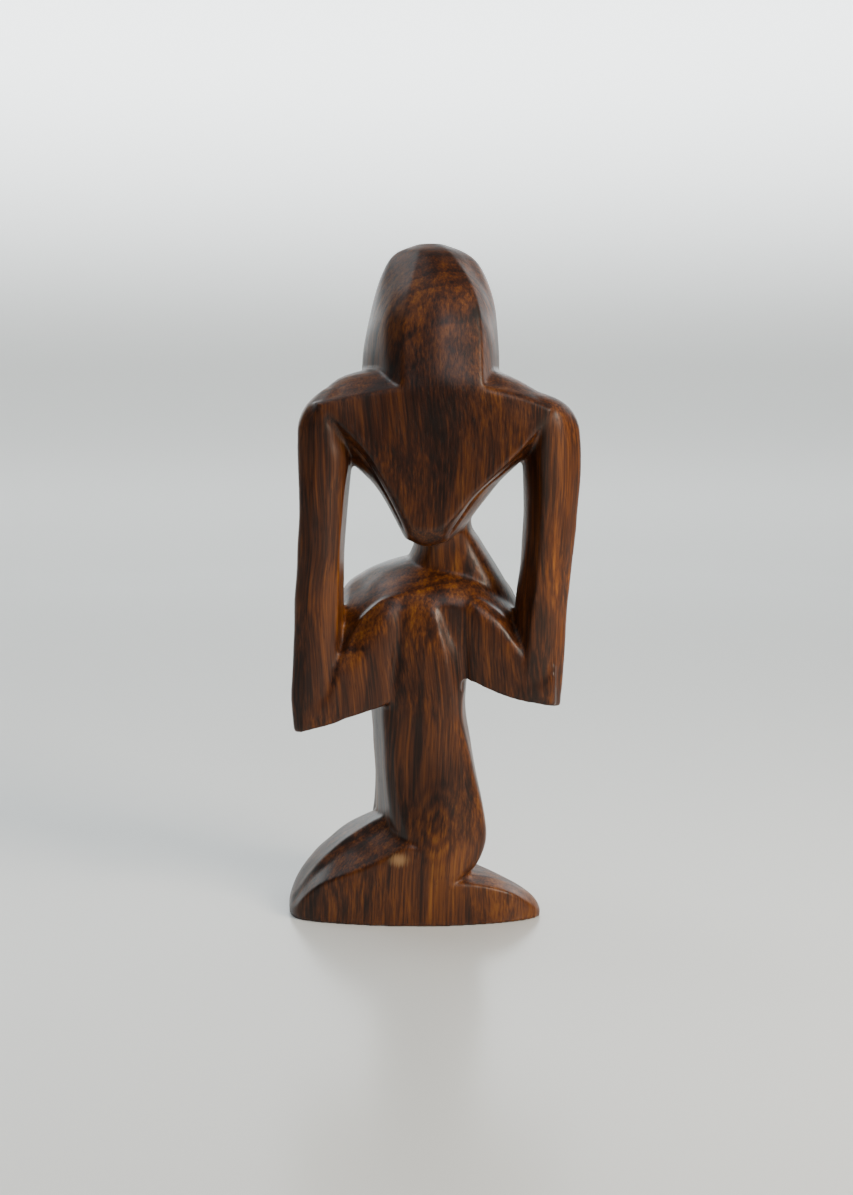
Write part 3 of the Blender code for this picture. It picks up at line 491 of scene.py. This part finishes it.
def thin_out(body):
    """Fewer triangles where the carving is flat."""
    step = body.modifiers.new("thin", "DECIMATE")
    step.ratio = TRIANGLES / (2.0 * len(body.data.polygons))
    graph = bpy.context.evaluated_depsgraph_get()
    skin = bpy.data.meshes.new_from_object(body.evaluated_get(graph))
    body.modifiers.clear()
    body.data = skin


def points_of(data):
    points = np.empty(len(data.vertices) * 3)
    data.vertices.foreach_get("co", points)
    return points.reshape(-1, 3)


def put_points(data, points):
    data.vertices.foreach_set("co", np.ascontiguousarray(points).ravel())
    data.update()


def edges_of(data):
    ends = np.empty(len(data.edges) * 2, dtype=np.int64)
    data.edges.foreach_get("vertices", ends)
    return ends.reshape(-1, 2)


def averaged(points, ends, degree):
    """Each point's neighbours, averaged."""
    total = np.zeros_like(points)
    for axis in range(3):
        total[:, axis] = (np.bincount(ends[:, 0], points[ends[:, 1], axis], len(points))
                          + np.bincount(ends[:, 1], points[ends[:, 0], axis], len(points)))
    return total / degree[:, None]


def softness(data):
    """How much each point belongs to the softly rounded places, 0 to 1."""
    points = points_of(data) + (MIDDLE_X, MIDDLE_Y, 0.0)
    soft = np.zeros(len(points))
    for middle, reach, share in SOFT_SPOTS:
        away = np.sqrt((((points - middle) / reach) ** 2).sum(1))
        inside = np.clip((SOFT_END - away) / (SOFT_END - SOFT_CORE), 0.0, 1.0)
        soft = np.maximum(soft, share * inside)
    return soft[:, None]


def sand(data, passes, amount, share=1.0):
    """Soften the skin without shrinking it."""
    points = points_of(data)
    ends = edges_of(data)
    degree = np.bincount(ends.ravel(), minlength=len(points)).astype(float)
    for _ in range(passes):
        points += amount * share * (averaged(points, ends, degree) - points)
        points -= GIVE_BACK * amount * share * (averaged(points, ends, degree) - points)
    put_points(data, points)


def normals_of(data):
    normals = np.empty(len(data.vertices) * 3)
    data.vertices.foreach_get("normal", normals)
    return normals.reshape(-1, 3)


def nearest_on_path(points, path):
    """Distance from each point to a polyline, and how far along it that lies."""
    best = np.full(len(points), 1e9)
    share = np.zeros(len(points))
    for i, (a, b) in enumerate(zip(path, path[1:])):
        run = b - a
        along = np.clip((points - a) @ run / (run @ run), 0.0, 1.0)
        gap = points - (a + along[:, None] * run)
        gap = np.sqrt((gap * gap).sum(1))
        closer = gap < best
        best[closer] = gap[closer]
        share[closer] = (i + along[closer]) / (len(path) - 1)
    return best, share


def carve_strokes(data):
    """Push the skin in or out along the gouge lines."""
    points = points_of(data)
    normals = normals_of(data)
    shift = np.array((MIDDLE_X, MIDDLE_Y, 0.0))
    move = np.zeros(len(points))
    for path, width, depth, fade_in, fade_out in STROKES:
        curve = smooth_curve(path, (), STEPS_STROKE, False)
        gap, share = nearest_on_path(points + shift, curve)
        fade = (np.clip(share / max(fade_in, SHORTEST_FADE), 0.0, 1.0)
                * np.clip((1.0 - share) / max(fade_out, SHORTEST_FADE), 0.0, 1.0))
        move += depth * fade * np.exp(-(gap / width) ** 2)
    put_points(data, points - normals * move[:, None])


def knife_marks(data):
    """The faint unevenness a hand-sanded surface keeps: crossed ripples 12 to 50 mm long."""
    points = points_of(data)
    normals = normals_of(data)
    x, y, z = points.T
    wave = (np.sin(0.31 * x + 0.12 * z + 0.7) * np.sin(0.23 * z - 0.2 * y + 1.9)
            + 0.6 * np.sin(0.52 * y + 0.17 * x + 0.4) * np.sin(0.41 * z + 0.33 * x))
    put_points(data, points + normals * (KNIFE_MARK * wave)[:, None])


def settle(data):
    """Flat underside on the table, and from here on metres."""
    points = points_of(data)
    points[:, 2] = np.maximum(points[:, 2], 0.0)
    low = points[:, 2] < UNDERSIDE
    points[low, 2] = 0.0
    put_points(data, points * MM)


# ---------------------------------------------------------------- the wood
class Nodes:
    """Short hand for building a shader."""

    def __init__(self, material):
        self.tree = material.node_tree
        self.nodes = self.tree.nodes

    def add(self, kind, values=None, **settings):
        node = self.nodes.new(kind)
        for key, value in settings.items():
            setattr(node, key, value)
        for key, value in (values or {}).items():
            if isinstance(value, bpy.types.NodeSocket):
                self.tree.links.new(value, node.inputs[key])
            else:
                node.inputs[key].default_value = value
        return node

    def math(self, operation, a, b=0.0):
        return self.add("ShaderNodeMath", {0: a, 1: b}, operation=operation).outputs[0]

    def plus(self, a, b, share):
        """The sum of a and a share of b."""
        return self.math("ADD", a, self.math("MULTIPLY", b, share))

    def vector(self, operation, a, b=(0.0, 0.0, 0.0), result="Vector"):
        node = self.add("ShaderNodeVectorMath", {0: a, 1: b}, operation=operation)
        return node.outputs[result]

    def spread(self, value, low, high, to_low=0.0, to_high=1.0):
        """A smooth step from to_low at low to to_high at high."""
        node = self.add("ShaderNodeMapRange", {"Value": value, "From Min": low,
                        "From Max": high, "To Min": to_low, "To Max": to_high},
                        interpolation_type="SMOOTHSTEP")
        return node.outputs[0]

    def stretched(self, vector, scale):
        node = self.add("ShaderNodeMapping", {"Vector": vector, "Scale": scale})
        return node.outputs[0]

    def noise(self, vector, scale, detail, rough):
        node = self.add("ShaderNodeTexNoise", {"Vector": vector, "Scale": scale,
                        "Detail": detail, "Roughness": rough})
        return node.outputs[0]

    def figure(self, vector, stretch, scale, detail, rough):
        """Noise drawn out along the grain."""
        return self.noise(self.stretched(vector, stretch), scale, detail, rough)

    def blend(self, factor, a, b, kind="MIX"):
        node = self.add("ShaderNodeMix", {0: factor, 6: a, 7: b}, data_type="RGBA",
                        blend_type=kind)
        return node.outputs[2]

    def ramp(self, value, stops):
        node = self.add("ShaderNodeValToRGB", {"Fac": value})
        colours = node.color_ramp.elements
        while len(colours) < len(stops):
            colours.new(0.5)
        for element, (at, colour) in zip(colours, stops):
            element.position = at
            element.color = colour
        return node.outputs[0]


INK = (0.0075, 0.0028, 0.0017, 1.0)
DARK = (0.019, 0.0062, 0.0028, 1.0)
BROWN = (0.058, 0.0165, 0.0048, 1.0)
WARM = (0.122, 0.0365, 0.0066, 1.0)
AMBER = (0.215, 0.0780, 0.0115, 1.0)
PALE = (0.330, 0.190, 0.085, 1.0)
WOOD_TONES = [(0.0, INK), (0.22, DARK), (0.48, BROWN), (0.74, WARM), (1.0, AMBER)]

# Figures of the grain: stretch in x, y and z, scale per mm, detail and roughness.
FIBRE = ((1.0, 1.0, 0.024), 3.4, 3.0, 0.6)
STREAK = ((1.0, 1.0, 0.016), 1.55, 2.0, 0.5)
BAND = ((1.0, 1.0, 0.040), 0.22, 2.0, 0.5)
PATCH = ((1.0, 1.0, 0.55), 0.036, 1.0, 0.5)
DARK_LINE = ((1.0, 1.0, 0.016), 0.62, 1.0, 0.5)
SWAY = ((1.0, 1.0, 0.35), 0.030, 2.0, 0.5)
RIPPLE = ((1.0, 1.0, 0.16), 0.17, 2.0, 0.5)
DRIFT = (9.0, 9.0, 0.0)         # how far the grain drifts from side to side, mm
DRIFT_SCALE = 0.021             # per mm

# What each of them adds to the tone, and where the tone starts and ends.
FIBRE_TONE = 0.34
STREAK_TONE = 0.62
BAND_TONE = 0.55
PATCH_TONE = 0.45
LATE_WOOD_TONE = -0.13
SWIRL_TONE = 0.085
DARKEST = 0.55
LIGHTEST = 1.34

RING_SPACING = 3.1              # growth rings, mm
HEART = (-10.0, 58.0)           # x and y of the tree's heart, mm
RING_LEAN = 0.020               # how fast the rings shift with height
SWAY_REACH = 11.0               # how far the rings wander, mm
RIPPLE_REACH = 2.2
RING_PICK = (3.7, 0.0, 0.55)    # noise that makes one ring darker than the next

KNOT_SWIRL = (6.0, -24.0, 31.0)     # the grain curls round the calf here, mm
SWIRL_SQUASH = (1.0, 0.3, 0.62)
SWIRL_TURNS = 2.1                   # radians per mm
SWIRL_REACH = (2.0, 11.0)           # where it starts and ends to fade, mm
PALE_KNOT = (-9.4, -26.4, 20.0)     # small knot near the heel, mm
KNOT_SQUASH = (0.62, 0.3, 0.85)
KNOT_REACH = (0.3, 2.3)

PORE_STRETCH = (1.0, 1.0, 0.10)
PORE_SCALE = 1.5                # per mm
PORE_REACH = (0.08, 0.22)
PORE_INK = 0.6                  # how dark a pore is

# Painted shade and painted warm light, as patches that multiply the wood's colour: middle
# (x, y, z), squash, reach in mm, strength and tint.
# painted shade: darkens the colour at the patches listed below
PAINTED_SHADE = (0.30, 0.25, 0.24, 1.0)
# painted warm light: brightens and warms the colour, as a warm lamp from the right does
PAINTED_WARM_LIGHT = (1.45, 1.35, 0.75, 1.0)
PAINTED_SHADE_AND_LIGHT = [
    # painted shade on the plate of the back, the crown and back of the head, and the calf
    ((1.0, -22.0, 148.0), (1.0, 1.0, 1.0), 40.0, 0.70, PAINTED_SHADE),      # plate of the back
    ((2.0, -8.0, 196.0), (1.0, 1.0, 1.0), 24.0, 0.55, PAINTED_SHADE),       # crown of the head
    ((3.0, -22.0, 165.0), (1.0, 1.0, 1.0), 18.0, 0.40, PAINTED_SHADE),      # back of the head
    ((5.0, -24.0, 38.0), (1.0, 1.0, 1.0), 20.0, 0.66, PAINTED_SHADE),       # calf
    # painted warm light on the outer face of the right arm
    ((42.0, -15.0, 112.0), (1.0, 0.7, 0.2), 16.0, 0.85, PAINTED_WARM_LIGHT),      # right arm
]
TINT_WANDER = 9.0               # how far a patch's edge wanders, mm

# Less polished places: middle (x, y, z), squash and reach in mm.
DULL = [
    ((12.0, -12.0, 13.0), (1.0, 0.5, 1.0), 15.0),       # top of the right foot
    ((-25.0, -16.0, 158.0), (1.0, 0.5, 1.0), 14.0),     # left shoulder
    ((30.0, -16.0, 156.0), (1.0, 0.5, 1.0), 14.0),      # right shoulder
    ((-9.0, -8.0, 188.0), (1.0, 0.6, 0.8), 13.0),       # head, left facet
    ((14.0, -8.0, 184.0), (1.0, 0.6, 0.8), 9.0),        # head, right facet
    ((15.0, -21.0, 166.0), (1.0, 1.0, 0.4), 8.0),       # head, right edge
    ((27.0, -20.0, 82.0), (1.0, 0.8, 0.6), 6.0),        # valley of the right arm
    ((-26.0, -20.0, 80.0), (1.0, 0.8, 0.6), 6.0),       # valley of the left arm
]
POLISH = 0.29                   # roughness of the polished wood
FIBRE_ROUGHNESS = 0.14          # and what fibres, pores and dull places add to it
PORE_ROUGHNESS = 0.22
DULL_ROUGHNESS = 0.16
SPECULAR = 0.26
COAT = 0.10                     # thin wax
COAT_ROUGHNESS = 0.30
STREAK_HEIGHT = 0.6
BUMP_STRENGTH = 0.25
BUMP_DEPTH = 0.00012            # m


def growth_rings(n, at):
    """Dark late wood in rings round a heart beyond the figure's front: 0 to 1."""
    x, y, z = n.add("ShaderNodeSeparateXYZ", {0: at}).outputs
    east = n.math("SUBTRACT", x, HEART[0])
    north = n.math("SUBTRACT", y, HEART[1])
    radius = n.math("SQRT", n.math("ADD", n.math("MULTIPLY", east, east),
                                   n.math("MULTIPLY", north, north)))
    radius = n.plus(radius, z, RING_LEAN)
    radius = n.plus(radius, n.figure(at, *SWAY), SWAY_REACH)
    radius = n.plus(radius, n.figure(at, *RIPPLE), RIPPLE_REACH)
    ring = n.math("DIVIDE", radius, RING_SPACING)
    late = n.spread(n.math("FRACT", ring), 0.30, 0.86)
    edge = n.spread(n.math("FRACT", ring), 0.88, 1.0, 1.0, 0.0)
    number = n.add("ShaderNodeCombineXYZ", {0: n.math("FLOOR", ring)}).outputs[0]
    strength = n.spread(n.noise(number, *RING_PICK), 0.35, 0.65, 0.35, 1.0)
    return n.math("MULTIPLY", n.math("MULTIPLY", late, edge), strength)


def distance_from(n, at, middle, squash):
    """Distance in mm, with x, y and z counted by the squash."""
    gap = n.vector("SUBTRACT", at, middle)
    return n.vector("LENGTH", n.stretched(gap, squash), result="Value")


def drifting(n, at):
    """The grain runs up the figure and drifts a little from side to side."""
    drift = n.add("ShaderNodeTexNoise", {"Vector": at, "Scale": DRIFT_SCALE,
                  "Detail": 1.0}).outputs["Color"]
    return n.vector("ADD", at, n.vector("MULTIPLY", drift, DRIFT))


def swirl(n, grain, streak):
    """Rings of grain around the calf."""
    away = distance_from(n, grain, KNOT_SWIRL, SWIRL_SQUASH)
    turn = n.plus(n.math("MULTIPLY", away, SWIRL_TURNS), streak, 3.0)
    fade = n.spread(away, *SWIRL_REACH, SWIRL_TONE, 0.0)
    return n.math("MULTIPLY", n.math("SINE", turn), fade)


def pores(n, grain):
    """Open pores: short dashes along the grain, dots on the end grain."""
    pore = n.add("ShaderNodeTexVoronoi", {"Vector": n.stretched(grain, PORE_STRETCH),
                 "Scale": PORE_SCALE, "Randomness": 1.0}, feature="F1")
    return n.spread(pore.outputs["Distance"], *PORE_REACH, 1.0, 0.0)


def pale_knot(n, at, fibre):
    """The share of a small pale knot, ragged along the fibres."""
    away = distance_from(n, at, PALE_KNOT, KNOT_SQUASH)
    away = n.plus(away, n.math("SUBTRACT", fibre, 0.5), 2.6)
    return n.spread(away, *KNOT_REACH, 0.7, 0.0)


def wood_colour(n, at, grain, fibre, streak, pore):
    """Fibres, streaks and late wood, then the painted shade and painted warm light, dark
    lines, pores and knot.
    """
    band = n.figure(grain, *BAND)
    tone = n.math("MULTIPLY", fibre, FIBRE_TONE)
    tone = n.plus(tone, streak, STREAK_TONE)
    tone = n.plus(tone, band, BAND_TONE)
    tone = n.plus(tone, n.figure(grain, *PATCH), PATCH_TONE)
    tone = n.plus(tone, growth_rings(n, at), LATE_WOOD_TONE)
    tone = n.math("ADD", tone, swirl(n, grain, streak))
    colour = n.ramp(n.spread(tone, DARKEST, LIGHTEST), WOOD_TONES)
    # painted shade and painted warm light: each patch multiplies the wood's colour
    for middle, squash, reach, strength, tint in PAINTED_SHADE_AND_LIGHT:
        away = n.plus(distance_from(n, grain, middle, squash), band, TINT_WANDER)
        share = n.spread(away, 0.4 * reach, 1.2 * reach, strength, 0.0)
        colour = n.blend(share, colour, tint, "MULTIPLY")
    line = n.spread(n.figure(grain, *DARK_LINE), 0.60, 0.70, 0.0, 0.45)
    colour = n.blend(line, colour, INK)
    colour = n.blend(n.math("MULTIPLY", pore, PORE_INK), colour, INK)
    return n.blend(pale_knot(n, at, fibre), colour, PALE)


def wood_roughness(n, at, fibre, pore):
    """Polished wood, duller in its pores and at the places less rubbed."""
    rough = n.math("ADD", n.math("MULTIPLY", fibre, FIBRE_ROUGHNESS), POLISH)
    rough = n.plus(rough, pore, PORE_ROUGHNESS)
    for middle, squash, reach in DULL:
        away = distance_from(n, at, middle, squash)
        dull = n.spread(away, 0.4 * reach, reach, DULL_ROUGHNESS, 0.0)
        rough = n.math("ADD", rough, dull)
    return rough


def carved_wood():
    """Dark reddish-brown hardwood under a thin wax."""
    material = bpy.data.materials.new("carved_wood")
    material.use_nodes = True
    n = Nodes(material)
    shader = n.nodes["Principled BSDF"]
    metres = n.add("ShaderNodeTexCoord").outputs["Object"]
    at = n.vector("MULTIPLY", metres, (1 / MM, 1 / MM, 1 / MM))
    grain = drifting(n, at)
    fibre = n.figure(grain, *FIBRE)
    streak = n.figure(grain, *STREAK)
    pore = pores(n, grain)

    colour = wood_colour(n, at, grain, fibre, streak, pore)
    n.tree.links.new(colour, shader.inputs["Base Color"])
    rough = wood_roughness(n, at, fibre, pore)
    n.tree.links.new(rough, shader.inputs["Roughness"])
    shader.inputs["Specular IOR Level"].default_value = SPECULAR
    shader.inputs["Coat Weight"].default_value = COAT
    shader.inputs["Coat Roughness"].default_value = COAT_ROUGHNESS
    height = n.math("SUBTRACT", n.math("MULTIPLY", streak, STREAK_HEIGHT), pore)
    bump = n.add("ShaderNodeBump", {"Height": height, "Strength": BUMP_STRENGTH,
                 "Distance": BUMP_DEPTH})
    n.tree.links.new(bump.outputs[0], shader.inputs["Normal"])
    return material


# ---------------------------------------------------------------- the stage
# Distances are in metres.
CAMERA_BACK = 0.498
CAMERA_UP = 0.1555
CAMERA_SIDE = -0.0013
CAMERA_TILT = 7.0       # degrees below level
LENS = 50.0             # mm
SENSOR = 36.0           # mm

FLAT_RADIUS = 0.9       # of the flat floor
CURVE_RADIUS = 0.5      # from the floor up into the backdrop
BACKDROP_TOP = 1.6
CURVE_STEPS = 12
SIDES = 72
FLOOR_GAP = 0.0002      # between the carving and the floor

FLOOR = (0.80, 0.82, 0.81, 1.0)
WALL = (0.09, 0.095, 0.095, 1.0)        # backdrop beside and in front of the figure
FLOOR_ROUGHNESS = 0.27
GLOW_COLOUR = (0.93, 0.98, 1.0, 1.0)    # of the lit backdrop
GLOW_LOW, GLOW_HIGH = 0.10, 3.2         # its strength near the floor and higher up
WALL_GLOW = 0.03
SKY_COLOUR = (0.90, 0.95, 0.98, 1.0)
SKY_NEAR, SKY_FAR = 0.8, 0.12           # its strength on the camera's side and beyond

# Soft lights: name, place, aim, size, power in watts and colour.
LIGHTS = [
    ("key", (0.62, -0.50, 0.50), (0.0, 0.0, 0.09), (0.35, 0.35), 9.5, (1.0, 0.88, 0.72)),
    ("top_left", (-0.56, 0.36, 1.05), (0.0, 0.0, 0.05), (0.42, 0.42), 2.4,
     (0.94, 0.97, 1.0)),
    ("window", (0.20, -0.95, 0.86), (0.0, 0.0, 0.15), (0.34, 0.50), 2.4,
     (0.86, 0.93, 1.0)),
]


def backdrop_material():
    """A pale floor and a lit backdrop behind the figure, greyer on the other sides."""
    material = bpy.data.materials.new("pale_backdrop")
    material.use_nodes = True
    n = Nodes(material)
    shader = n.nodes["Principled BSDF"]
    at = n.add("ShaderNodeTexCoord").outputs["Object"]
    _, y, z = n.add("ShaderNodeSeparateXYZ", {0: at}).outputs
    pale = n.math("MAXIMUM", n.spread(z, 0.02, 0.25, 1.0, 0.0), n.spread(y, 0.5, 1.05))
    n.tree.links.new(n.blend(pale, WALL, FLOOR), shader.inputs["Base Color"])
    shader.inputs["Roughness"].default_value = FLOOR_ROUGHNESS
    glow = n.math("MULTIPLY", n.spread(y, 0.55, 1.25),
                  n.spread(z, 0.17, 0.56, GLOW_LOW, GLOW_HIGH))
    glow = n.math("MULTIPLY", glow, n.spread(z, 0.60, 0.95, 1.0, 0.1))
    glow = n.math("ADD", glow, n.spread(z, 0.0, 0.3, 0.0, WALL_GLOW))
    n.tree.links.new(glow, shader.inputs["Emission Strength"])
    shader.inputs["Emission Color"].default_value = GLOW_COLOUR
    return material


def floor_and_backdrop():
    """A pale floor that curves up into a backdrop on every side."""
    profile = [(FLAT_RADIUS, 0.0)]
    for i in range(1, CURVE_STEPS + 1):
        turn = math.radians(90.0 * i / CURVE_STEPS)
        profile.append((FLAT_RADIUS + CURVE_RADIUS * math.sin(turn),
                        CURVE_RADIUS - CURVE_RADIUS * math.cos(turn)))
    profile.append((FLAT_RADIUS + CURVE_RADIUS, BACKDROP_TOP))
    directions = [math.radians(360.0 / SIDES * k) for k in range(SIDES)]
    mesh = bmesh.new()
    rings = [[mesh.verts.new((radius * math.cos(turn), radius * math.sin(turn), height))
              for turn in directions] for radius, height in profile]
    mesh.faces.new(rings[0])
    for lower, upper in zip(rings, rings[1:]):
        for k in range(SIDES):
            m = (k + 1) % SIDES
            mesh.faces.new((lower[m], lower[k], upper[k], upper[m]))
    data = bpy.data.meshes.new("floor")
    mesh.to_mesh(data)
    mesh.free()
    data.shade_smooth()
    data.materials.append(backdrop_material())
    floor = bpy.data.objects.new("floor", data)
    floor.location.z = -FLOOR_GAP
    bpy.context.scene.collection.objects.link(floor)


def soft_light(name, stand, aim, size, power, colour):
    """A rectangular lamp that faces its aim."""
    light = bpy.data.lights.new(name, "AREA")
    light.shape = "RECTANGLE"
    light.size, light.size_y = size
    light.energy = power
    light.color = colour
    lamp = bpy.data.objects.new(name, light)
    lamp.location = stand
    turn = Vector(aim) - Vector(stand)
    lamp.rotation_euler = turn.to_track_quat("-Z", "Y").to_euler()
    bpy.context.scene.collection.objects.link(lamp)


def light_the_stage():
    """A dim sky, brighter on the camera's side, and three soft lights."""
    world = bpy.data.worlds.new("studio")
    world.use_nodes = True
    n = Nodes(world)
    sky = n.nodes["Background"]
    look = n.add("ShaderNodeTexCoord").outputs["Generated"]
    y = n.add("ShaderNodeSeparateXYZ", {0: look}).outputs[1]
    n.tree.links.new(n.spread(y, -0.5, 0.3, SKY_NEAR, SKY_FAR), sky.inputs["Strength"])
    sky.inputs["Color"].default_value = SKY_COLOUR
    bpy.context.scene.world = world
    for light in LIGHTS:
        soft_light(*light)


def set_camera():
    """The view from behind, a little above the figure's shoulders."""
    camera = bpy.data.cameras.new("camera")
    camera.lens = LENS
    camera.sensor_width = SENSOR
    camera.sensor_fit = "AUTO"
    stand = bpy.data.objects.new("camera", camera)
    stand.location = (CAMERA_SIDE, -CAMERA_BACK - MIDDLE_Y * MM, CAMERA_UP)
    stand.rotation_euler = (math.radians(90.0 - CAMERA_TILT), 0.0, 0.0)
    bpy.context.scene.collection.objects.link(stand)
    bpy.context.scene.camera = stand


# ---------------------------------------------------------------- build it all
def carving():
    """The whole figure as one piece of wood."""
    body = fused()
    sand(body.data, SANDING_PASSES, SANDING)
    sand(body.data, SOFT_PASSES, SANDING, softness(body.data))
    carve_strokes(body.data)
    knife_marks(body.data)
    sand(body.data, LAST_PASSES, SANDING)
    settle(body.data)
    thin_out(body)
    body.data.materials.clear()
    body.data.materials.append(carved_wood())
    body.data.shade_smooth()
    return body


body = carving()
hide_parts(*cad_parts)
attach(body, "root")
floor_and_backdrop()
light_the_stage()
set_camera()
